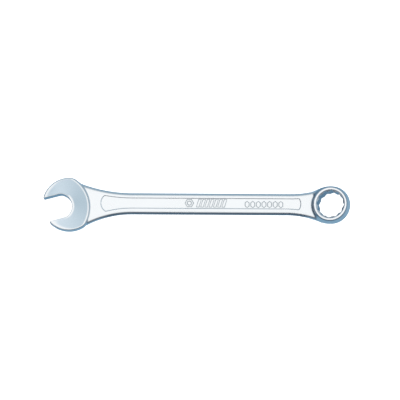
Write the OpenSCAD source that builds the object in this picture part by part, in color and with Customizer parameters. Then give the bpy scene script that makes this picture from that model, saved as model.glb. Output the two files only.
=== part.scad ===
// Combination wrench: one drop forging with an open jaw at one end and a
// twelve-point ring at the other.
//
// Frame: millimetres, +Z up. The handle runs along X, with the open jaw at -X and the
// ring at +X. The wrench lies face up on the plane z = 0, on the flat of its open head
// and on the low edge of its ring. The origin is the centre of the bounding box's base.

/* [Nut] */
// Width across the flats of the nut that both ends fit
nut_af = 14; // [13:0.5:15]
// How much wider than the nut both openings are
af_slack = 0.15; // [0.1:0.05:0.3]

/* [Overall] */
// Length from the jaw's tip to the far side of the ring
overall_l = 180; // [170:1:195]

/* [Open head] */
// Angle between the jaw and the handle
jaw_angle = 15; // [10:1:20]
// Thickness between the ground faces
head_t = 6.5; // [6:0.1:7.5]
// Outer radius around the jaw
head_r = 15.8; // [14.8:0.1:17]
// Radius of the arc behind the jaw
back_r = 21; // [20:1:28]
// Metal left between the jaw's centre and the back of the head
back_reach = 12.2; // [12:0.1:13]
// Depth of the throat behind the jaw's centre
throat_depth = 1.5; // [1:0.1:3]
// How much larger the throat's radius is than half the opening
throat_spare = 0.4; // [0.2:0.1:1]
// Rounding of the jaw's tips
tip_r = 0.8; // [0.5:0.1:1.2]
// Rounding of the head's outer rim
head_rim_r = 1.2; // [0.6:0.1:1.6]
// Chamfer along the edges of the jaw
jaw_chamfer = 0.5; // [0.3:0.05:0.7]

/* [Handle] */
// Width of the straight stretch
handle_w = 12.7; // [11:0.1:14]
// Thickness
handle_t = 5; // [4.6:0.1:5.5]
// Rounding of the long edges
handle_edge_r = 2.2; // [1:0.1:2.2]
// Sideways offset of its centre line from the line through the two ends
handle_shift = 0.8; // [0:0.1:1.5]
// Where the straight stretch ends towards the open head, from the middle
straight_to_head = 38; // [36:0.5:42]
// Flare radius into the open head, on the side where the jaw turns away
flare_r_far = 85; // [75:1:95]
// Flare radius into the open head, on the side that the jaw turns towards
flare_r_near = 56; // [50:1:60]
// Flare radius into the ring
flare_r_ring = 52; // [40:1:60]

/* [Sunk panel] */
// Border of metal around the sunk panel on each face
panel_border = 3.1; // [2.8:0.1:3.4]
// Depth of the panel
panel_depth = 0.4; // [0.2:0.05:0.5]
// End of the panel towards the open head, from the middle
panel_to_head = 56.3; // [50:0.1:57]
// End of the panel towards the ring, from the middle
panel_to_ring = 61.3; // [55:0.1:62]
// Radius of the panel's rounded ends
panel_end_r = 6; // [5.5:0.1:8]

/* [Ring] */
// Outer diameter at half height
ring_d = 22.7; // [22:0.1:24]
// Height between the faces
ring_h = 9.5; // [8.5:0.1:10.5]
// Tilt of the ring to the handle
ring_tilt = 15; // [10:1:15]
// Draft of the outer wall
ring_draft = 15; // [8:1:16]
// Rounding of the outer rims
ring_rim_r = 0.8; // [0.4:0.1:1]
// Turn of the twelve points from the handle's direction
star_turn = -7; // [-15:1:15]
// Radius of the funnel's mouth at each face
funnel_r = 8.6; // [8.3:0.05:9]
// Radius of the fillet where the handle meets the ring
neck_fillet_r = 1.6; // [1:0.1:2]

/* [Hidden] */
$fn = 72;
eps = 0.01;
far = 60;

opening = nut_af + af_slack;
mid_z = head_t / 2;
throat_r = opening / 2 + throat_spare;

// Each tip's rounding touches the jaw's flat and the outer rim; its centre is
// (tip_u, tip_v) in the jaw's frame, and the far tip's reach places the head.
tip_v = opening / 2 + tip_r;
tip_u = sqrt(pow(head_r - tip_r, 2) - pow(tip_v, 2));
head_x = -overall_l / 2 + tip_u * cos(jaw_angle) + tip_v * sin(jaw_angle) + tip_r;

// The rim's rounding touches the drafted wall and the face; its centre is (rim_c, rim_h).
rim_h = ring_h / 2 - ring_rim_r;
rim_c = ring_d / 2 - rim_h * tan(ring_draft) - ring_rim_r / cos(ring_draft);
ring_x = overall_l / 2 - (rim_c * cos(ring_tilt) + rim_h * sin(ring_tilt) + ring_rim_r);
ring_z = rim_h * cos(ring_tilt) + rim_c * sin(ring_tilt) + ring_rim_r;

// A flare of radius flare_r_ring touches both the handle's edge and the ring.
straight_to_ring = ring_x - sqrt(pow(ring_d / 2 + flare_r_ring, 2) - pow(handle_w / 2 + flare_r_ring, 2));

// The flares end inside the head and the ring, past where their edges run into them;
// only the near flare by the head ends where its arc comes up to the head's rim.
head_flare_l = -head_x - head_r / 4 - straight_to_head;
near_flare_l = (-head_x - straight_to_head) * flare_r_near / (flare_r_near + head_r);
ring_flare_l = ring_x - ring_d / 4 - straight_to_ring;

// Width across the corners of the nut's hexagon.
star_d = opening / cos(30);

// Plan of the handle between x0 and x1, drawn inset from its edge all round.
module waisted_strip(x0, x1, inset) {
  half_w = handle_w / 2 - inset;
  difference() {
    translate([x0, -far / 2]) square([x1 - x0, far]);
    translate([-straight_to_head, half_w]) square([straight_to_head + straight_to_ring, far]);
    translate([-straight_to_head, -half_w - far]) square([straight_to_head + straight_to_ring, far]);
    translate([-straight_to_head, handle_w / 2 + flare_r_far]) circle(flare_r_far + inset);
    translate([-straight_to_head, -handle_w / 2 - flare_r_near]) circle(flare_r_near + inset);
    for (side = [-1, 1])
      translate([straight_to_ring, side * (handle_w / 2 + flare_r_ring)]) circle(flare_r_ring + inset);
  }
}

// Half of the handle's section, from its rounded edge at x = 0 inwards to x = reach.
module half_section(reach) {
  core_t = handle_t - 2 * handle_edge_r;
  translate([handle_edge_r, -handle_t / 2]) square([reach - handle_edge_r, handle_t]);
  translate([0, -core_t / 2]) square([handle_edge_r + eps, core_t]);
  intersection() {
    translate([0, -handle_t / 2]) square([handle_edge_r + eps, handle_t]);
    for (side = [-1, 1])
      translate([handle_edge_r, side * core_t / 2]) circle(handle_edge_r);
  }
}

// The straight stretch of the handle.
module straight_bar() {
  translate([-straight_to_head, 0, 0]) rotate([90, 0, 90])
    linear_extrude(straight_to_head + straight_to_ring)
      for (side = [0, 1])
        mirror([side, 0]) translate([-handle_w / 2, 0]) half_section(handle_w / 2);
}

// One side of a flare that starts at x = 0 and runs to x = length, on the +Y side: half
// the handle's section, swept round an arc of radius r that bends away from the axis.
module flare_side(length, r) {
  intersection() {
    translate([0, handle_w / 2 + r, 0]) rotate([0, 0, -90])
      rotate_extrude(angle = asin(length / r) + 2)
        translate([r, 0]) half_section(28);
    translate([0, 0, -handle_t]) cube([length, far, 2 * handle_t]);
  }
}

module handle() {
  straight_bar();
  translate([straight_to_ring, 0, 0])
    for (side = [0, 1])
      mirror([0, side, 0]) flare_side(ring_flare_l, flare_r_ring);
  mirror([1, 0, 0]) translate([straight_to_head, 0, 0]) {
    flare_side(head_flare_l, flare_r_far);
    mirror([0, 1, 0]) flare_side(near_flare_l, flare_r_near);
  }
}

// A disc of radius r and thickness t with both rims rounded.
module rounded_disc(r, t, rim) {
  rotate_extrude() {
    translate([0, -t / 2]) square([r - rim, t]);
    translate([0, -t / 2 + rim]) square([r, t - 2 * rim]);
    for (side = [-1, 1])
      translate([r - rim, side * (t / 2 - rim)]) intersection() {
        circle(rim);
        translate([0, -rim]) square([rim, 2 * rim]);
      }
  }
}

// The open head before its jaw is cut, in its own frame: the jaw opens towards +X.
module open_head_blank() {
  intersection() {
    rounded_disc(head_r, head_t, head_rim_r);
    translate([back_r - back_reach, 0, 0]) rounded_disc(back_r, head_t, head_rim_r);
  }
}

// The jaw's slot, with a chamfer round its mouth on both faces.
module jaw_slot() {
  throat_u = throat_r - throat_depth;
  chamfer_h = jaw_chamfer + 1;
  translate([0, 0, -head_t]) linear_extrude(2 * head_t) jaw_plan();
  for (face = [0, 1])
    mirror([0, 0, face]) {
      translate([throat_u, 0, head_t / 2 - jaw_chamfer]) intersection() {
        cylinder(h = chamfer_h, r1 = throat_r, r2 = throat_r + chamfer_h);
        translate([-far, -opening / 2 - jaw_chamfer, 0])
          cube([far, opening + 2 * jaw_chamfer, chamfer_h]);
      }
      translate([throat_u, 0, head_t / 2]) rotate([90, 0, 90])
        linear_extrude(far) polygon([
          [-opening / 2, -jaw_chamfer], [opening / 2, -jaw_chamfer],
          [opening / 2 + chamfer_h, 1], [-opening / 2 - chamfer_h, 1],
        ]);
    }
}

// Plan of the slot: straight flats that run back into a round throat.
module jaw_plan() {
  throat_u = throat_r - throat_depth;
  intersection() {
    translate([-throat_depth, -opening / 2]) square([far, opening]);
    union() {
      translate([throat_u, 0]) circle(throat_r);
      translate([throat_u, -far / 2]) square([far, far]);
    }
  }
}

// What the rounding takes off the sharp corner of each jaw tip.
module tip_corners() {
  reach = 4;
  out = [tip_u, tip_v] / norm([tip_u, tip_v]);
  for (side = [-1, 1])
    scale([1, side, 1]) translate([tip_u, tip_v, -head_t]) linear_extrude(2 * head_t)
      difference() {
        polygon([[0, 0], [0, -reach], [reach, -reach], reach * out]);
        circle(tip_r);
      }
}

// The sunk panel on the upper face of the handle, as a cutter.
module panel_cutter() {
  translate([0, 0, handle_t / 2 - panel_depth]) linear_extrude(handle_t)
    intersection() {
      waisted_strip(-panel_to_head, panel_to_ring, panel_border);
      translate([-panel_to_head + panel_end_r, 0]) union() {
        circle(panel_end_r);
        translate([0, -far / 2]) square([3 * far, far]);
      }
      translate([panel_to_ring - panel_end_r, 0]) union() {
        circle(panel_end_r);
        translate([-3 * far, -far / 2]) square([3 * far, far]);
      }
    }
}

// Half of the ring's outer profile: drafted wall, rounded rim and face.
module ring_half_profile() {
  wall_r = rim_c + ring_rim_r * cos(ring_draft);
  wall_h = rim_h + ring_rim_r * sin(ring_draft);
  polygon([[0, 0], [ring_d / 2, 0], [wall_r, wall_h], [rim_c, rim_h], [rim_c, ring_h / 2], [0, ring_h / 2]]);
  intersection() {
    translate([rim_c, rim_h]) circle(ring_rim_r);
    polygon([[rim_c, rim_h], [wall_r, wall_h], [wall_r, ring_h / 2], [rim_c, ring_h / 2]]);
  }
}

module ring_blank() {
  for (side = [0, 1])
    mirror([0, 0, side]) rotate_extrude() ring_half_profile();
}

// Twelve-point hole with a funnel at each mouth, on the ring's own axis.
module star_hole() {
  funnel_h = funnel_r - opening / 2 + 1;
  for (turn = [0, 30])
    rotate([0, 0, star_turn + turn]) cylinder(h = 2 * ring_h, d = star_d, center = true, $fn = 6);
  for (side = [0, 1])
    mirror([0, 0, side]) translate([0, 0, ring_h / 2 - funnel_h + eps])
      cylinder(h = funnel_h, r1 = funnel_r - funnel_h, r2 = funnel_r);
}

// Fillet that carries the top of the neck up the near wall of the ring.
module neck_fillet() {
  wall_r = ring_d / 2 * cos(ring_tilt) - 0.1;
  intersection() {
    translate([ring_x, 0, 0]) rotate([0, 0, 145]) rotate_extrude(angle = 70)
      translate([wall_r, handle_t / 2]) difference() {
        translate([-1, -1]) square([neck_fillet_r + 1, neck_fillet_r + 1]);
        translate([neck_fillet_r, neck_fillet_r]) circle(neck_fillet_r);
      }
    translate([0, -handle_w / 2, 0]) cube([far * 2, handle_w, far]);
  }
}

module place_head() {
  translate([head_x, 0, mid_z]) rotate([0, 0, 180 + jaw_angle]) children();
}

module place_ring() {
  translate([ring_x, 0, ring_z]) rotate([0, -ring_tilt, 0]) children();
}

// The whole forging: one solid.
module forged_body() {
  color("silver")
    difference() {
      union() {
        translate([0, handle_shift, mid_z]) handle();
        translate([0, 0, mid_z]) neck_fillet();
        place_head() open_head_blank();
        place_ring() ring_blank();
      }
      place_head() jaw_slot();
      place_head() tip_corners();
      place_ring() star_hole();
      for (face = [0, 1])
        translate([0, handle_shift, mid_z]) mirror([0, 0, face]) panel_cutter();
    }
}

forged_body();
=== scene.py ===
# %% [markdown]
# # A forged combination wrench
#
# This lesson builds one hand tool: a combination wrench, with an open jaw at one end and a
# twelve-point ring at the other. The real one is a single piece of steel. A red-hot bar is
# hammered between two dies, the waste is trimmed off, the jaw and the ring are cut, and the
# whole is tumbled and chrome plated. Nothing on it is screwed, welded or pinned.
#
# That history decides how to model it. A forging has no sharp corners on the outside and a
# soft fillet wherever two masses meet, while the cut openings stay crisp. So the body is
# described as a *distance field*: one formula that says how far any point is from the
# steel. Rounded edges and fillets are then ordinary arithmetic, and one mesh comes out.

# %% Load the frame and measure it
import math

import bpy
import numpy as np
from mathutils import Matrix, Vector


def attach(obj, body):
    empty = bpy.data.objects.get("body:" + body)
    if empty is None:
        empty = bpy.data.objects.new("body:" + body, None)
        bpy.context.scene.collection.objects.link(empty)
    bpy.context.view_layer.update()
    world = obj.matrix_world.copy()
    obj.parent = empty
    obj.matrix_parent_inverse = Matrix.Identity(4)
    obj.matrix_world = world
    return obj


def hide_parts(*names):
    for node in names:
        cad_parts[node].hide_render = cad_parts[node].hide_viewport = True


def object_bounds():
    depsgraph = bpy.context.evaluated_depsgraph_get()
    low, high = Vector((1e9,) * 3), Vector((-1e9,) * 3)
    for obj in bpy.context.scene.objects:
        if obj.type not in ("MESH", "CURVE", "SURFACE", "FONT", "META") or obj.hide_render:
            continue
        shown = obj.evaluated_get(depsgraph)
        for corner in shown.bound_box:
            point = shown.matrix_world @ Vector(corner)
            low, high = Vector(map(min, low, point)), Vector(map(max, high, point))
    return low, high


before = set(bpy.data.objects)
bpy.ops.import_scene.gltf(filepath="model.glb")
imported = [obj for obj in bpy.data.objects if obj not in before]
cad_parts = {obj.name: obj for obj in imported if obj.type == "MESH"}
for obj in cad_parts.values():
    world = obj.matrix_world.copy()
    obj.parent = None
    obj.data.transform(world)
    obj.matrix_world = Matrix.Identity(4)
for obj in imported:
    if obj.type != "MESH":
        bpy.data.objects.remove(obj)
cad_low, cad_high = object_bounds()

print("CAD box, mm:", [round(1000 * c, 2) for c in (*cad_low, *cad_high)])

# %% [markdown]
# ## The sizes
#
# Every length is in millimetres, because that is how a toolmaker thinks, and is turned into
# metres once, at the end. The wrench lies on its back on the plane z = 0, with the handle
# along X. The jaw is turned 15 degrees off the handle, which lets a mechanic flip the
# wrench over and catch the next flats of a nut in a tight corner. The ring is tilted by the
# same angle, to keep knuckles clear of the work. An ending of `_R` is a radius, `_X`, `_Y`
# or `_Z` a place, `_W`, `_T` or `_H` a width, a thickness or a height. Seen from the camera,
# far is the upper side of the wrench and near is the lower one.

# %% Sizes in millimetres
MM = 0.001
OPENING = 14.15

HEAD_X, HEAD_R, HEAD_T, HEAD_RIM = -74.83, 15.8, 6.5, 1.0
JAW_TURN = math.radians(15)
BACK_R, BACK_REACH = 21.0, 12.2
THROAT_R, THROAT_DEPTH = 7.475, 1.5
FAR_TIP_R, NEAR_TIP_R = 0.7, 1.1

MID_Z = HEAD_T / 2
HANDLE_W, HANDLE_T, HANDLE_EDGE, HANDLE_Y = 12.7, 5.0, 2.4, 0.8
FLARE_HEAD_X, FLARE_FAR_R, FLARE_NEAR_R = -38.0, 85.0, 56.0
FLARE_RING_FAR_R, FLARE_RING_NEAR_R = 60.0, 52.0
FAR_END_X, NEAR_END_X, BAR_LOW_X = -69.0, -66.0, -74.0
NECK_X, NECK_CENTRE_X, NECK_R, NECK_ROUND = 72.0, 77.3, 10.4, 2.5

RING_X, RING_Z, RING_R, RING_H, RING_RIM = 78.97, 7.065, 11.2, 9.5, 0.65
RING_TILT, STAR_TURN = math.radians(15), -7
FUNNEL_R, STAR_CORNER = 8.6, 0.35

HEAD_FILLET, NECK_FILLET, FAR_FILLET, NEAR_FILLET = 0.5, 1.1, 3.7, 0.8
JAW_EDGE, STAR_EDGE, BACK_CORNER, STEP_EDGE = 0.45, 0.22, 1.0, 0.35

PANEL_BORDER, PANEL_DEPTH, PANEL_SLOPE = 3.05, 0.4, 0.55
PANEL_LEFT, PANEL_RIGHT, PANEL_END_R = -56.5, 61.5, 6.0
print("the handle is", round(RING_X - HEAD_X, 1), "mm long between the centres of its ends")

# %% [markdown]
# ## Joining distances
#
# A distance field is negative inside the steel, zero on its skin and positive outside. The
# larger of two distances keeps what is inside both shapes, and the smaller joins them.
# Written as below, the same two operations leave a true quarter-round of a chosen radius:
# `both` rounds the outer edge where two faces meet, as the tumbling drum does, and `either`
# fills the inner corner, as the die does.

# %% Two ways to join distances
def both(a, b, r):
    """What is inside a and inside b, with the edge between them rounded to radius r."""
    return np.minimum(np.maximum(a, b), -r) + np.hypot(np.maximum(a + r, 0), np.maximum(b + r, 0))


def either(a, b, r):
    """What is inside a or inside b, with the corner between them filled to radius r."""
    return np.maximum(np.minimum(a, b), r) - np.hypot(np.maximum(r - a, 0), np.maximum(r - b, 0))


print("1 mm inside two faces, corner rounded 1.2 mm:", round(float(both(-1.0, -1.0, 1.2)), 3), "mm")

# %% [markdown]
# ## The handle
#
# Seen from above, the handle's edges are straight in the middle and curve outwards at both
# ends, so the pull of a hand flows into the heads without a weak corner. Each edge is a
# line and two arcs that touch it, which is exactly how a draughtsman would lay it out. The
# distance to an arc is the distance to its centre, less its radius. The bar ends inside the
# head, and inside a circle a little smaller than the ring, so neither end sticks out.

# %% Distance to the handle
def handle_edge(x, y, shift, head_flare_r, ring_flare_r):
    """Distance beyond one long edge of the handle, with y measured from its centre line."""
    half = HANDLE_W / 2
    between_centres = RING_R + ring_flare_r
    ring_flare_x = RING_X - math.sqrt(between_centres**2 - (half + shift + ring_flare_r) ** 2)
    to_head = head_flare_r - np.hypot(x - FLARE_HEAD_X, y - half - head_flare_r)
    to_ring = ring_flare_r - np.hypot(x - ring_flare_x, y - half - ring_flare_r)
    return np.where(x < FLARE_HEAD_X, to_head, np.where(x > ring_flare_x, to_ring, y - half))


def handle_plan(x, y):
    """Distance beyond the handle's outline, seen from above."""
    y = y - HANDLE_Y
    far_edge = handle_edge(x, y, HANDLE_Y, FLARE_FAR_R, FLARE_RING_FAR_R)
    near_edge = handle_edge(x, -y, -HANDLE_Y, FLARE_NEAR_R, FLARE_RING_NEAR_R)
    return np.maximum(far_edge, near_edge)


def handle(x, y, z):
    faces = np.abs(z - MID_Z) - HANDLE_T / 2
    inside_head = np.hypot(x - HEAD_X, y) - (HEAD_R - 1)
    past_head = np.where(y > 0, FAR_END_X, NEAR_END_X) - x
    inside_ring = np.hypot(x - NECK_CENTRE_X, y) - NECK_R
    plan = np.maximum(handle_plan(x, y), either(inside_head, past_head, 1.0))
    plan = np.maximum(plan, either(inside_ring, x - NECK_X, NECK_ROUND))
    plan = np.maximum(plan, np.maximum(BAR_LOW_X - x, x - RING_X - 1))
    return both(plan, faces, HANDLE_EDGE)


print("the handle's middle is", -round(float(handle(0.0, HANDLE_Y, MID_Z)), 2), "mm deep in steel")

# %% [markdown]
# ## The open head
#
# The head is a thick disc that stands 0.75 mm proud of the handle on each face. Its back is
# trimmed by a larger circle, and ends in a curved, sloping step, as a forging die leaves it.
# The jaw is two parallel flats that run back into a round throat. The throat matters: a
# square corner there would crack. The head is worked out in its own frame, with u along the
# jaw and v across it, because there the flats are simply two values of v.

# %% Distance to the head and its jaw
def jaw_frame(x, y):
    """Distance along the jaw from its centre, and across it."""
    ax, ay = -math.cos(JAW_TURN), -math.sin(JAW_TURN)
    return (x - HEAD_X) * ax + y * ay, (x - HEAD_X) * ay - y * ax


def back_circle(u, v):
    return np.hypot(u - (BACK_R - BACK_REACH), v) - BACK_R


def head_plan(u, v):
    return both(np.hypot(u, v) - HEAD_R, back_circle(u, v), BACK_CORNER)


def jaw_slot(u, v):
    round_end = np.hypot(np.minimum(u - (THROAT_R - THROAT_DEPTH), 0), v) - THROAT_R
    return np.maximum(np.abs(v) - OPENING / 2, round_end)


def head(x, y, z):
    u, v = jaw_frame(x, y)
    above = np.abs(z - MID_Z)
    plate = both(head_plan(u, v), above - HEAD_T / 2, HEAD_RIM)
    lean, slant = 1.2, 1.56  # how far the step leans, and how long that makes its slope
    step = (back_circle(u, v) + lean * (above - HANDLE_T / 2)) / slant
    return both(plate, step, STEP_EDGE)


print("metal behind the throat:", round(BACK_REACH - THROAT_DEPTH, 1), "mm")

# %% [markdown]
# ## The ring
#
# The ring is a barrel: widest at half height, because forging dies must open, and so have
# draft. The hole is two hexagons turned 30 degrees from each other, which gives twelve
# points and lets the ring drop over a nut at every 30 degrees. A funnel at each mouth
# guides it on. The ring has a frame of its own too, with h along its axis, so the tilt is
# handled in one place.

# %% Distance to the ring and its hole
def ring_frame(x, y, z):
    """The same point seen from the tilted ring: across it twice, and up its axis."""
    c, s = math.cos(RING_TILT), math.sin(RING_TILT)
    x, z = x - RING_X, z - RING_Z
    return x * c + z * s, y, z * c - x * s


def ring_blank(a, b, h):
    draft = 0.4 * (np.sqrt(h * h + 4) - 2)  # how far the wall has drawn in at height h
    barrel = (np.hypot(a, b) - RING_R + draft) * 0.95
    return both(barrel, np.abs(h) - RING_H / 2, RING_RIM)


def hexagon(a, b, turn):
    angles = np.radians(turn + np.array([0, 60, 120]))
    flats = [np.abs(a * math.cos(t) + b * math.sin(t)) - OPENING / 2 for t in angles]
    return both(both(flats[0], flats[1], STAR_CORNER), flats[2], STAR_CORNER)


def ring_hole(a, b, h):
    star = np.minimum(hexagon(a, b, STAR_TURN + 30), hexagon(a, b, STAR_TURN))
    funnel = (np.hypot(a, b) - FUNNEL_R + (RING_H / 2 - np.abs(h))) * math.sqrt(0.5)
    return np.minimum(star, funnel)


star_r = OPENING / 2 / math.cos(math.radians(30))
print("wall behind a point of the star:", round(RING_R - star_r, 2), "mm")

# %% [markdown]
# ## The sunk panel
#
# Both faces of the handle carry a shallow panel with rounded ends. The die leaves it, and
# it lightens the handle and gives the maker somewhere to put marks. Its edge runs parallel
# to the handle's own edge, which the distance field gives for nothing: it is where the
# distance equals the border's width. The wall is a gentle S-curve rather than a step.

# %% Depth of the panel
def panel_plan(x, y):
    """Distance beyond the panel's outline, seen from above."""
    left = np.hypot(np.minimum(x - (PANEL_LEFT + PANEL_END_R), 0), y - HANDLE_Y) - PANEL_END_R
    right = np.hypot(np.maximum(x - (PANEL_RIGHT - PANEL_END_R), 0), y - HANDLE_Y) - PANEL_END_R
    return np.maximum(np.maximum(left, right), handle_plan(x, y) + PANEL_BORDER)


def sink(x, y):
    """How deep the panel lies below the handle's face."""
    t = np.clip(-panel_plan(x, y) / PANEL_SLOPE, 0, 1)
    return PANEL_DEPTH * t * t * (3 - 2 * t)


print("panel depth at its middle:", round(float(sink(0.0, HANDLE_Y)), 2), "mm")

# %% [markdown]
# ## The whole forging
#
# Now the parts join. The bar is trimmed level with the ring's lower face where it runs under
# the ring. The fillet between the two is wider on the far side, where the handle's offset
# leaves more room between the outlines. The openings are cut last, as in the factory. Where
# a cut has nothing to say, its distance is set far below zero, so the larger value ignores
# it.

# %% Distance to the whole forging
def forging(x, y, z):
    """Distance from the finished wrench's skin: negative in the steel."""
    a, b, h = ring_frame(x, y, z)
    u, v = jaw_frame(x, y)
    bar = np.maximum(handle(x, y, z), np.where(x > NECK_X, -h - RING_H / 2, -9.0))
    body = either(bar, head(x, y, z), HEAD_FILLET)
    to_far, to_near = np.clip((y - 5) / 3, 0, 1), np.clip((-y - 5) / 3, 0, 1)
    fillet = NECK_FILLET + (FAR_FILLET - NECK_FILLET) * to_far + (NEAR_FILLET - NECK_FILLET) * to_near
    body = either(body, ring_blank(a, b, h), fillet)
    sunk_face = np.abs(z - MID_Z) - HANDLE_T / 2 + sink(x, y)
    body = np.maximum(body, np.where(panel_plan(x, y) < 0, sunk_face, -1.0))
    body = both(body, -jaw_slot(u, v), JAW_EDGE)
    tips = both(head_plan(u, v), -jaw_slot(u, v), np.where(v > 0, FAR_TIP_R, NEAR_TIP_R))
    body = np.maximum(body, np.where(x < HEAD_X - 5, tips, -1.0))
    return both(body, -ring_hole(a, b, h), STAR_EDGE)


print("distance at the ring's centre:", round(float(forging(RING_X, 0.0, RING_Z)), 2), "mm of air")

# %% [markdown]
# ## From field to mesh
#
# A *surface net* turns the field into quads. Space is cut into small boxes. Each box that
# the skin passes through gets one vertex, and each grid edge that the skin crosses gets one
# quad between the four boxes round it. The result is always closed. The boxes are small
# around the two ends, where the detail is, and long down the plain handle, which keeps the
# number of faces down.

# %% Sample the distance on a grid
def spaced(low, high, fine, coarse, calm_low, calm_high):
    """Grid lines from low to high: fine steps outside the calm stretch, coarse ones inside it."""
    lines = [low]
    while lines[-1] < high:
        depth = min(lines[-1] - calm_low, calm_high - lines[-1])
        lines.append(lines[-1] + fine + (coarse - fine) * min(max(depth / 6, 0), 1))
    return np.array(lines)


STEP = 0.27
grid_x = spaced(-90.63, 90.6, STEP, 1.0, -48.0, 55.0)
grid_y = np.arange(-16.4, 16.5, STEP)
grid_z = np.arange(-0.6, 14.8, STEP) + 0.011
values = forging(grid_x[:, None, None], grid_y[None, :, None], grid_z[None, None, :])
print("grid:", values.shape, "=", values.size, "samples")

# %% [markdown]
# ## Vertices and quads
#
# Each vertex starts at the average of the places where the skin crosses its box's twelve
# edges. The crossing along an edge is found by straight interpolation between the two
# values at its ends. A quad's four corners are listed in the order that makes it face
# outwards, which depends on whether the grid edge leaves the steel or enters it.

# %% Surface net
def surface_net(field, gx, gy, gz):
    """One vertex per box that the skin passes through, one quad per grid edge it crosses."""
    inside = field < 0
    nx, ny, nz = (n - 1 for n in field.shape)
    corners = [(i, j, k) for i in (0, 1) for j in (0, 1) for k in (0, 1)]

    def corner(array, c):
        return array[c[0] : c[0] + nx, c[1] : c[1] + ny, c[2] : c[2] + nz]

    filled = sum(corner(inside, c).astype(np.int8) for c in corners)
    box = np.argwhere((filled > 0) & (filled < 8))
    total, hits = np.zeros((len(box), 3)), np.zeros(len(box))
    for c in corners:
        for axis in range(3):
            if c[axis]:
                continue
            d = list(c)
            d[axis] = 1
            p, q = box + c, box + d
            fp, fq = field[tuple(p.T)], field[tuple(q.T)]
            cross = (fp < 0) != (fq < 0)
            t = np.where(cross, fp / np.where(cross, fp - fq, 1), 0)[:, None]
            at_p = np.stack([gx[p[:, 0]], gy[p[:, 1]], gz[p[:, 2]]], 1)
            at_q = np.stack([gx[q[:, 0]], gy[q[:, 1]], gz[q[:, 2]]], 1)
            total += np.where(cross[:, None], at_p + t * (at_q - at_p), 0)
            hits += cross
    number = np.full((nx, ny, nz), -1, dtype=np.int64)
    number[tuple(box.T)] = np.arange(len(box))
    quads = []
    for axis in range(3):
        near = [slice(1, n) for n in (nx, ny, nz)]
        far = list(near)
        near[axis] = slice(0, (nx, ny, nz)[axis])
        far[axis] = slice(1, (nx, ny, nz)[axis] + 1)
        a, b = inside[tuple(near)], inside[tuple(far)]
        edge = np.argwhere(a != b)
        leaving = a[tuple(edge.T)]
        cell = edge + [0 if i == axis else 1 for i in range(3)]
        s, t = [i for i in range(3) if i != axis]
        if axis == 1:
            s, t = t, s
        ring = []
        for ds, dt in ((0, 0), (1, 0), (1, 1), (0, 1)):
            c = cell.copy()
            c[:, s] -= ds
            c[:, t] -= dt
            ring.append(number[tuple(c.T)])
        ring = np.stack(ring, 1)
        quads.append(np.where(leaving[:, None], ring, ring[:, ::-1]))
    return total / hits[:, None], np.concatenate(quads)


points, quads = surface_net(values, grid_x, grid_y, grid_z)
print(len(points), "vertices,", len(quads), "quads,", 2 * len(quads), "triangles")

# %% [markdown]
# ## On to the skin
#
# The net is close to the skin but not on it. Each vertex is slid along the field's slope
# until the distance is zero, as a machinist would file down to the line. In between, it is
# drawn a little towards its neighbours, which evens out the quads, so reflections run over
# the chrome without a ripple. At the end, everything is kept a hair inside the CAD's box.

# %% Settle every vertex
def slope(p, h=0.02):
    """Which way the distance grows at each point, measured h to each side."""
    parts = []
    for axis in range(3):
        step = np.zeros(3)
        step[axis] = h
        parts.append((forging(*(p + step).T) - forging(*(p - step).T)) / (2 * h))
    return np.stack(parts, 1)


def settle(p, rounds):
    """Slide points down the slope until the distance is zero."""
    for _ in range(rounds):
        g = slope(p)
        p = p - (forging(*p.T) / np.maximum((g * g).sum(1), 0.25))[:, None] * g
    return p


starts, ends = np.concatenate([quads[:, [i, (i + 1) % 4]] for i in range(4)]).T
degree = np.bincount(starts, minlength=len(points))[:, None]
for _ in range(2):
    points = settle(points, 2)
    around = np.stack([np.bincount(starts, points[ends, i], len(points)) for i in range(3)], 1)
    points = points + 0.4 * (around / degree - points)
points = settle(points, 3)
points = np.clip(points, 1000 * np.array(cad_low) + 0.001, 1000 * np.array(cad_high) - 0.001)
off_skin = np.abs(forging(*points.T))
print("mean distance off the skin:", round(float(off_skin.mean()), 5), "mm")
print("largest, at the jaw's tip, where the box trims it:", round(float(off_skin.max()), 2), "mm")

# %% [markdown]
# ## A Blender mesh
#
# The vertices are scaled to metres and every face is set smooth. The field also knows which
# way the skin faces at each vertex, more exactly than the quads do, so its slope becomes the
# shading normal. Nothing is moved after this: the object sits at the origin, and its place
# is in its vertices.

# %% Build the wrench's mesh
def add_object(name, data):
    thing = bpy.data.objects.new(name, data)
    bpy.context.scene.collection.objects.link(thing)
    return thing


facing = slope(points)
facing /= np.linalg.norm(facing, axis=1)[:, None]
wrench_mesh = bpy.data.meshes.new("wrench_forging")
wrench_mesh.from_pydata((points * MM).tolist(), [], quads.tolist())
wrench_mesh.polygons.foreach_set("use_smooth", [True] * len(wrench_mesh.polygons))
wrench_mesh.validate()
wrench_mesh.update()
wrench = add_object("wrench_forging", wrench_mesh)
wrench_mesh.normals_split_custom_set_from_vertices(facing.tolist())
print("built", wrench.name, "with", len(wrench_mesh.polygons), "faces")

# %% [markdown]
# ## Which faces were ground
#
# After forging, the flats of the head are ground on a wheel and the openings are cut, before
# plating. Those surfaces take a brighter, closer finish than the tumbled handle. Vertex
# attributes mark them, so one material can tell the areas of one piece apart. Each is a
# *mask*, 1 inside its area and 0 outside, with a soft border made by `ramp`. Most masks also
# paint light and shade into the metal's colour. The first two describe the head's flat: the
# first is the flat itself, painted in the blue-grey of the reflection it shows, less a rim
# along its edges that keeps the bright metal as a painted highlight, and `shade` is a
# painted reflection that runs lighter and darker across the flat. All distances are in
# millimetres.

# %% Masks for the head's flat
def ramp(value, start, end):
    """Runs smoothly from 0 at start to 1 at end."""
    t = np.clip((value - start) / (end - start), 0, 1)
    return t * t * (3 - 2 * t)


x, y, z = points.T
u, v = jaw_frame(x, y)
off_mid = np.abs(z - MID_Z)
upright = np.abs(facing[:, 2])
slot = jaw_slot(u, v)
inside_back = -back_circle(u, v)

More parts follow.
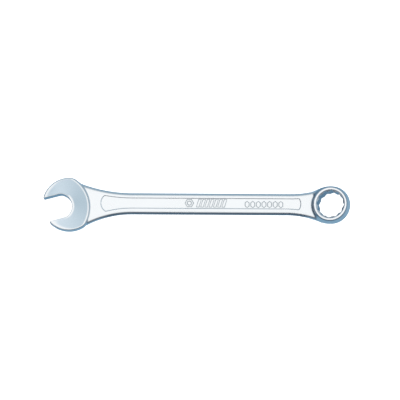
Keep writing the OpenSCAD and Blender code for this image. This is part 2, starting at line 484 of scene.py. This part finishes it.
on_flat = ramp(upright, 0.9, 0.985) * (off_mid > HEAD_T / 2 - 0.3) * (x < -55)
throat_rim = ramp(slot - 0.8 * ramp(-u, -6, 0), 0.0, 1.1)
from_slot = np.where(v > 5, ramp(slot, 0.2, 0.6), throat_rim)
from_tip = np.where(v < 0, ramp(-u, -12.5, -7.5), ramp(-u, -15.5, -13.5))
from_rim = (HEAD_R - np.hypot(u, v)) / (1.0 + 1.1 * ramp(u, 0, 9))
# Painted reflection: the flat is given the blue-grey tone it reflects; the rim and the throat are
# left out, so they stay bright as a painted highlight.
ground = on_flat * ramp(from_rim, 0.4, 1.3) * ramp(inside_back, 1.2, 1.9) * from_slot * from_tip
# Painted reflection across the flat: lighter and darker by the angle round the head, with a painted
# patch of shade near the far jaw's tip.
sweep = np.cos(np.arctan2(y, x - HEAD_X) - 0.25)
tip_shade = np.exp(-((u - 9) ** 2 + (v - 10) ** 2) / 14)
shade = 0.45 + 0.45 * sweep + 0.4 * tip_shade
print("ground flat:", round(100 * float(ground.mean()), 1), "% of the vertices")

# %% [markdown]
# The next masks follow the walls, and each paints light and shade into the colour: a painted
# highlight on the ring's rim, a lighter chrome on the outsides of both ends so that their
# reflection reads lighter, painted shade on `edge`, the handle's side nearest the camera, and
# a closer finish with painted shade on the walls of the openings. A wall is found by which way
# the skin faces: sideways instead of up or down.

# %% Masks for the walls
a, b, h = ring_frame(x, y, z)
radius = np.hypot(a, b)
on_ring = x > 65
on_side = 1 - ramp(upright, 0.55, 0.85)

# Painted highlight: the ring's flat rim is painted brighter.
ring_face_highlight = (np.abs(h) > RING_H / 2 - 1.5) * (radius > 7) * (radius < 9.8) * on_ring
jaw_flat = (np.abs(slot) < 0.3) * (x < -60) * (1 - ramp(upright, 0.3, 0.6))
head_wall = ramp(-x, 54, 62) * (slot > 1)
ring_wall = ramp(radius, 9.2, 9.6) * ramp(x, 62, 70)
# Painted light: the outsides of both ends get a lighter chrome, so their reflection reads lighter
# than the handle's side.
wall = np.maximum(on_side * np.maximum(head_wall, ring_wall), 0.4 * jaw_flat)
# Painted shade: the handle's side nearest the camera is painted dark.
edge = on_side * (y < 0) * (1 - wall) * ramp(x, -60, -50) * ramp(-x, -70, -62)
# The walls of the openings: a closer finish, and a darker tone painted on as the shade inside them.
cut = np.maximum(0.7 * jaw_flat, (radius < 8.4) * on_ring * (1 - ring_face_highlight))
print("walls:", round(100 * float(wall.mean()), 1), "% of the vertices")

# %% [markdown]
# The last mask, `corner`, paints shade into three hollows where a concave fillet lies in
# shade: the foot of the step behind the head, the neck where the handle meets the ring, and
# the line below the ring's rim. It also paints a streak of shade along the far jaw's edge.

# %% Mask for the hollows, and all masks stored
in_handle = ramp(-handle_plan(x, y), 0.6, 2.0)
step_band = ramp(-inside_back, -0.6, -0.35) * ramp(inside_back, -0.2, 0.1) * (x < -58)
at_step = step_band * (off_mid > 1.9) * (off_mid < HEAD_T / 2 - 0.12) * in_handle
neck_band = ramp(radius, 9.6, 10.0) * ramp(-radius, -12.2, -11.3) * (x > 62)
at_neck = neck_band * ramp(-a, 0, 6) * (off_mid > 2.2) * ramp(y, -8.5, -6)
rim_band = ramp(radius, 9.5, 9.8) * ramp(-radius, -10.4, -10.0) * (x > 62)
under_rim = rim_band * (np.abs(h) < RING_H / 2 - 0.1)
jaw_band = ramp(slot, 0.25, 0.45) * ramp(-slot, -1.0, -0.7) * ramp(-u, -13, -10)
# Painted shade along the far jaw's edge.
jaw_edge_shade = 0.5 * jaw_band * (v > 4) * (x < -70) * (facing[:, 2] > 0)
# All painted shade, in the hollows and along the far jaw.
corner = np.clip(0.1 * at_step + at_neck + under_rim + jaw_edge_shade, 0, 1)

masks = {
    "ground": ground, "shade": shade, "ring_face_highlight": ring_face_highlight, "wall": wall,
    "edge": edge, "cut": cut, "corner": corner,
}
for name, mask in masks.items():
    layer = wrench_mesh.attributes.new(name, "FLOAT", "POINT")
    layer.data.foreach_set("value", mask.astype(np.float32))
print("stored:", ", ".join(masks))

# %% [markdown]
# ## The chrome
#
# Chrome has almost no colour of its own: it shows the room, and its finish decides how
# sharply. The material is one metal shader. Small helpers keep its node tree readable: one
# blends two values or colours, each of which may be fixed or come from another node.

# %% Helpers for node trees
def tree_of(thing):
    """The empty node tree of a material or a world."""
    thing.use_nodes = True
    thing.node_tree.nodes.clear()
    return thing.node_tree


def mix(tree, kind, factor, low, high):
    """Blend from low to high, where kind is FLOAT for values and RGBA for colours."""
    node = tree.nodes.new("ShaderNodeMix")
    node.data_type = kind
    first, second, result = (2, 3, 0) if kind == "FLOAT" else (6, 7, 2)
    tree.links.new(factor, node.inputs[0])
    for socket, value in ((node.inputs[first], low), (node.inputs[second], high)):
        if isinstance(value, bpy.types.NodeSocket):
            tree.links.new(value, socket)
        else:
            socket.default_value = value
    return node.outputs[result]


print("helpers ready for Blender", bpy.app.version_string)

# %% [markdown]
# The handle is satin, because tumbling stones leave it finely pitted. The ground flats are
# closer and carry faint lines from the wheel. Each mask blends the metal's colour towards a
# painted tone, which stands in for the reflection, highlight and shade that its area shows,
# and two of them change the roughness as well. A fine bump breaks the reflection up. All
# textures are read in object coordinates, in metres.

# %% Chrome material
# Painted tones: a highlight on the ring's rim, a lighter chrome on the outer walls, and shade on the
# handle's near side, the openings and the hollows.
TONES = {
    "ring_face_highlight": (0.95, 0.97, 0.99, 1),
    "edge": (0.42, 0.44, 0.47, 1),
    "cut": (0.40, 0.46, 0.53, 1),
    "wall": (0.96, 0.98, 1.0, 1),
    "corner": (0.46, 0.54, 0.61, 1),
}


def chrome_material(name, tint, rough):
    material = bpy.data.materials.new(name)
    tree = tree_of(material)
    nodes, wires = tree.nodes, tree.links
    out = nodes.new("ShaderNodeOutputMaterial")
    metal = nodes.new("ShaderNodeBsdfPrincipled")
    metal.inputs["Metallic"].default_value = 1.0
    wires.new(metal.outputs["BSDF"], out.inputs["Surface"])
    place = nodes.new("ShaderNodeTexCoord")

    def noise(scale, detail, squash=(1, 1, 1)):
        stretch = nodes.new("ShaderNodeMapping")
        stretch.inputs["Scale"].default_value = squash
        texture = nodes.new("ShaderNodeTexNoise")
        texture.inputs["Scale"].default_value = scale
        texture.inputs["Detail"].default_value = detail
        wires.new(place.outputs["Object"], stretch.inputs["Vector"])
        wires.new(stretch.outputs["Vector"], texture.inputs["Vector"])
        return texture.outputs["Fac"]

    def attribute(which):
        node = nodes.new("ShaderNodeAttribute")
        node.attribute_name = which
        return node.outputs["Fac"]

    cloud = noise(90, 3)
    base = mix(tree, "RGBA", cloud, tuple(c * 0.97 for c in tint) + (1,), tint + (1,))
    # Painted reflection on the head's flat: a blue-grey tone, running lighter to darker with the
    # painted sheen.
    flat_reflection_tone = mix(tree, "RGBA", attribute("shade"), (0.66, 0.76, 0.84, 1), (0.42, 0.53, 0.61, 1))
    base = mix(tree, "RGBA", attribute("ground"), base, flat_reflection_tone)
    for area, tone in TONES.items():
        base = mix(tree, "RGBA", attribute(area), base, tone)
    wires.new(base, metal.inputs["Base Color"])

    grain = noise(2500, 2)
    wheel = noise(1200, 2, (0.05, 1, 1))
    roughness = mix(tree, "FLOAT", cloud, rough - 0.04, rough + 0.04)
    wheel_roughness = mix(tree, "FLOAT", wheel, 0.2, 0.28)
    roughness = mix(tree, "FLOAT", attribute("ground"), roughness, wheel_roughness)
    roughness = mix(tree, "FLOAT", attribute("cut"), roughness, 0.22)
    wires.new(roughness, metal.inputs["Roughness"])

    relief = mix(tree, "FLOAT", attribute("ground"), grain, wheel)
    bump = nodes.new("ShaderNodeBump")
    bump.inputs["Strength"].default_value = 0.1
    bump.inputs["Distance"].default_value = 0.00002
    wires.new(relief, bump.inputs["Height"])
    wires.new(bump.outputs["Normal"], metal.inputs["Normal"])
    return material


chrome = chrome_material("satin_chrome", (0.90, 0.93, 0.95), 0.28)
wrench_mesh.materials.append(chrome)
print("made", chrome.name, "with", len(chrome.node_tree.nodes), "nodes")

# %% [markdown]
# ## Raised marks on the panel
#
# A maker's panel carries raised marks, pressed up by pockets in the die. Here they are plain
# shapes: a hexagon with a circle in it, a run of slanted bars and a row of small hexagons.
# Each is one outline repeated along a line, which is a job for Geometry Nodes. A polygon is
# stretched and leaned over, a round profile is swept along it, and copies are set in a row.
# The lower half of each bead is buried in the steel.

# %% Node tree for a row of outlines
def outline_row_tree():
    """Builds the tree, and returns it with the identifier of each of its inputs."""
    tree = bpy.data.node_groups.new("outline_row", "GeometryNodeTree")
    ports = {}
    for label, kind in (
        ("Count", "NodeSocketInt"), ("Pitch", "NodeSocketFloat"), ("Corners", "NodeSocketInt"),
        ("Turn", "NodeSocketFloat"), ("Size", "NodeSocketVector"), ("Lean", "NodeSocketFloat"),
        ("Bead", "NodeSocketFloat"), ("Start", "NodeSocketVector"),
        ("Material", "NodeSocketMaterial"),
    ):
        socket = tree.interface.new_socket(label, in_out="INPUT", socket_type=kind)
        ports[label] = socket.identifier
    tree.interface.new_socket("Geometry", in_out="OUTPUT", socket_type="NodeSocketGeometry")
    new, link = tree.nodes.new, tree.links.new
    given, result = new("NodeGroupInput"), new("NodeGroupOutput")

    polygon = new("GeometryNodeMeshCircle")
    link(given.outputs["Corners"], polygon.inputs["Vertices"])
    polygon.inputs["Radius"].default_value = 1
    turned = new("GeometryNodeTransform")
    spin = new("ShaderNodeCombineXYZ")
    link(given.outputs["Turn"], spin.inputs["Z"])
    link(polygon.outputs["Mesh"], turned.inputs["Geometry"])
    link(spin.outputs["Vector"], turned.inputs["Rotation"])
    sized = new("GeometryNodeTransform")
    link(turned.outputs["Geometry"], sized.inputs["Geometry"])
    link(given.outputs["Size"], sized.inputs["Scale"])

    where, parts = new("GeometryNodeInputPosition"), new("ShaderNodeSeparateXYZ")
    link(where.outputs["Position"], parts.inputs["Vector"])
    lean = new("ShaderNodeMath")
    lean.operation = "MULTIPLY"
    link(parts.outputs["Y"], lean.inputs[0])
    link(given.outputs["Lean"], lean.inputs[1])
    offset = new("ShaderNodeCombineXYZ")
    link(lean.outputs["Value"], offset.inputs["X"])
    leaned = new("GeometryNodeSetPosition")
    link(sized.outputs["Geometry"], leaned.inputs["Geometry"])
    link(offset.outputs["Vector"], leaned.inputs["Offset"])

    path, profile = new("GeometryNodeMeshToCurve"), new("GeometryNodeCurvePrimitiveCircle")
    bead = new("GeometryNodeCurveToMesh")
    profile.inputs["Resolution"].default_value = 10
    link(given.outputs["Bead"], profile.inputs["Radius"])
    link(leaned.outputs["Geometry"], path.inputs["Mesh"])
    link(path.outputs["Curve"], bead.inputs["Curve"])
    link(profile.outputs["Curve"], bead.inputs["Profile Curve"])

    line, step = new("GeometryNodeMeshLine"), new("ShaderNodeCombineXYZ")
    link(given.outputs["Count"], line.inputs["Count"])
    link(given.outputs["Start"], line.inputs["Start Location"])
    link(given.outputs["Pitch"], step.inputs["X"])
    link(step.outputs["Vector"], line.inputs["Offset"])
    copies, real = new("GeometryNodeInstanceOnPoints"), new("GeometryNodeRealizeInstances")
    coat = new("GeometryNodeSetMaterial")
    link(line.outputs["Mesh"], copies.inputs["Points"])
    link(bead.outputs["Mesh"], copies.inputs["Instance"])
    link(copies.outputs["Instances"], real.inputs["Geometry"])
    link(real.outputs["Geometry"], coat.inputs["Geometry"])
    link(given.outputs["Material"], coat.inputs["Material"])
    link(coat.outputs["Geometry"], result.inputs["Geometry"])
    return tree, ports


row_tree, row_ports = outline_row_tree()
print("the tree has", len(row_tree.nodes), "nodes and inputs", ", ".join(row_ports))

# %% [markdown]
# ## The four runs of marks
#
# The tree is run once for each run of marks. Its result is copied into an ordinary mesh, so
# nothing has to be worked out again when the scene opens. The beads are then pressed flatter,
# to the height a die would leave.

# %% Make the marks
# The marks get a rougher chrome, with a darker colour painted on as shade.
dull_shaded_chrome = chrome_material("dull_shaded_chrome", (0.50, 0.55, 0.58), 0.36)
FLOOR_Z = MID_Z + HANDLE_T / 2 - PANEL_DEPTH
BEAD_R, BEAD_FLATTEN = 0.26, 0.75


def mark_row(name, count, pitch, corners, turn, size, lean, start):
    """A row of outlines on the panel's floor, with its sizes in mm and its turn in degrees."""
    host = add_object(name + "_host", bpy.data.meshes.new(name + "_host"))
    modifier = host.modifiers.new("row", "NODES")
    modifier.node_group = row_tree
    settings = {
        "Count": count, "Pitch": pitch * MM, "Corners": corners,
        "Turn": math.radians(turn), "Lean": lean, "Bead": BEAD_R * MM,
        "Size": [c * MM for c in (*size, 1000)], "Start": [c * MM for c in (*start, 0)],
        "Material": dull_shaded_chrome,
    }
    for label, value in settings.items():
        modifier[row_ports[label]] = value
    bpy.context.view_layer.update()
    ready = host.evaluated_get(bpy.context.evaluated_depsgraph_get())
    mesh = bpy.data.meshes.new_from_object(ready)
    bpy.data.objects.remove(host)
    for vertex in mesh.vertices:
        vertex.co.z = FLOOR_Z * MM + BEAD_FLATTEN * vertex.co.z
    for polygon in mesh.polygons:
        polygon.use_smooth = True
    mesh.name = name
    print(name, "has", len(mesh.polygons), "faces")
    return add_object(name, mesh)


marks = [
    mark_row("badge_hexagon", 1, 1, 6, 0, (2.5, 2.5), 0, (-4.25, 1.0)),
    mark_row("badge_circle", 1, 1, 24, 0, (1.2, 1.2), 0, (-4.25, 1.0)),
    mark_row("slanted_bars", 7, 2.5, 4, 45, (1.1, 3.3), 0.3, (1.35, 1.0)),
    mark_row("small_hexagons", 7, 3.3, 6, 30, (1.35, 1.9), 0, (29.7, 0.4)),
]

# %% [markdown]
# ## The table
#
# The wrench lies on a plain white table. The table glows a little and doesn't show in
# reflections, so it stays evenly pale and leaves the metal to mirror the room alone.

# %% Table
TABLE_HALF = 3.0
table_mesh = bpy.data.meshes.new("table_top")
corners = [(i * TABLE_HALF, j * TABLE_HALF, 0) for i, j in ((-1, -1), (1, -1), (1, 1), (-1, 1))]
table_mesh.from_pydata(corners, [], [(0, 1, 2, 3)])
floor = add_object("table_top", table_mesh)
floor.location.z = -0.0001
floor.visible_glossy = False
paint = bpy.data.materials.new("white_table")
paint_tree = tree_of(paint)
surface = paint_tree.nodes.new("ShaderNodeOutputMaterial")
coat = paint_tree.nodes.new("ShaderNodeBsdfPrincipled")
coat.inputs["Base Color"].default_value = (0.9, 0.9, 0.9, 1)
coat.inputs["Roughness"].default_value = 0.9
coat.inputs["Emission Color"].default_value = (1, 1, 1, 1)
coat.inputs["Emission Strength"].default_value = 0.75
paint_tree.links.new(coat.outputs["BSDF"], surface.inputs["Surface"])
table_mesh.materials.append(paint)
print("the table is", 2 * TABLE_HALF, "m wide")

# %% [markdown]
# ## A studio made of directions
#
# Metal is lit by what it mirrors, so the room matters more than any lamp. The world's colour
# depends on the direction a ray leaves in: white straight above, like a broad soft box, and
# blue-grey walls below it. The wall on the near side is dark around the horizon, which draws
# the dark line along the handle's near edge, and the far wall is lighter. Only reflections
# see this room. Everything else sees plain white, which gives the soft, even light.

# %% Helpers for the world
world = bpy.data.worlds.new("studio")
bpy.context.scene.world = world
studio = tree_of(world)
nodes, wires = studio.nodes, studio.links
place = nodes.new("ShaderNodeTexCoord")


def along(direction):
    """How far a ray's direction points along the one given."""
    node = nodes.new("ShaderNodeVectorMath")
    node.operation = "DOT_PRODUCT"
    node.inputs[1].default_value = direction
    wires.new(place.outputs["Generated"], node.inputs[0])
    return node.outputs["Value"]


def rescale(value, low, high):
    """Runs from 0 where the value is low to 1 where it is high."""
    node = nodes.new("ShaderNodeMapRange")
    node.inputs["From Min"].default_value = low
    node.inputs["From Max"].default_value = high
    wires.new(value, node.inputs["Value"])
    return node.outputs["Result"]


def gradient(value, stops):
    """Colours in turn as the value runs from -1 to 1, with stops at places from 0 to 1."""
    node = nodes.new("ShaderNodeValToRGB")
    wires.new(rescale(value, -1, 1), node.inputs["Fac"])
    elements = node.color_ramp.elements
    for element, (at, colour) in zip(elements, (stops[0], stops[-1])):
        element.position, element.color = at, (*colour, 1)
    for at, colour in stops[1:-1]:
        elements.new(at).color = (*colour, 1)
    return node.outputs["Color"]


print("the world is called", world.name)

# %% [markdown]
# The walls and the ceiling are each a gradient from bottom to top. The two walls are blended
# by how far the ray points to the far side, and the ceiling is laid over both.

# %% Walls, ceiling and soft light
height = along((0.0, 0.0, 1.0))
near_wall = gradient(height, [
    (0.0, (0.20, 0.35, 0.48)), (0.34, (0.20, 0.35, 0.48)),
    (0.46, (0.07, 0.11, 0.16)), (0.65, (0.05, 0.08, 0.12)),
])
far_wall = gradient(height, [
    (0.0, (0.20, 0.35, 0.48)), (0.35, (0.24, 0.38, 0.50)), (0.60, (0.30, 0.40, 0.48)),
])
to_far_side = rescale(along((0.45, 0.9, 0.0)), -0.3, 0.4)
walls = mix(studio, "RGBA", to_far_side, near_wall, far_wall)
ceiling = gradient(along((0.0, -0.1, 1.0)), [(0.77, (0, 0, 0)), (0.90, (1, 1, 1))])

room, soft_light = (nodes.new("ShaderNodeBackground") for _ in range(2))
wires.new(mix(studio, "RGBA", ceiling, walls, (1, 1, 1, 1)), room.inputs["Color"])
room.inputs["Strength"].default_value = 1.02
soft_light.inputs["Color"].default_value = (1, 1, 1, 1)
soft_light.inputs["Strength"].default_value = 1.3
ray, choose = nodes.new("ShaderNodeLightPath"), nodes.new("ShaderNodeMixShader")
out = nodes.new("ShaderNodeOutputWorld")
wires.new(ray.outputs["Is Glossy Ray"], choose.inputs["Fac"])
wires.new(soft_light.outputs["Background"], choose.inputs[1])
wires.new(room.outputs["Background"], choose.inputs[2])
wires.new(choose.outputs["Shader"], out.inputs["Surface"])
bpy.context.scene.view_settings.view_transform = "Standard"
print("the studio has", len(nodes), "nodes")

# %% [markdown]
# ## The camera
#
# The camera looks down steeply from the near side, far enough away that the wrench is drawn
# with hardly any perspective. The lens follows from how wide a strip it has to frame.

# %% Camera
DISTANCE, WIDTH = 0.85, 0.2357
TILT, ROLL = math.radians(79), math.radians(0.33)
camera_data = bpy.data.cameras.new("camera")
camera = add_object("camera", camera_data)
bpy.context.scene.camera = camera
camera_data.lens = camera_data.sensor_width * DISTANCE / WIDTH
target = Vector((2.0, 3.3, 3.25)) * MM
side = Vector((1, 0, 0))
back = Vector((0, -math.cos(TILT), math.sin(TILT)))
axes = Matrix((side, back.cross(side), back)).transposed()
turned = axes @ Matrix.Rotation(ROLL, 3, "Z")
camera.matrix_world = Matrix.Translation(target + back * DISTANCE) @ turned.to_4x4()
print("lens:", round(camera_data.lens, 1), "mm")

# %% [markdown]
# ## Hand the pieces over
#
# All five meshes stand in for the one CAD body and move with it.

# %% Ride and replace
for piece in (wrench, *marks):
    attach(piece, "root")
    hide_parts("forged_body")
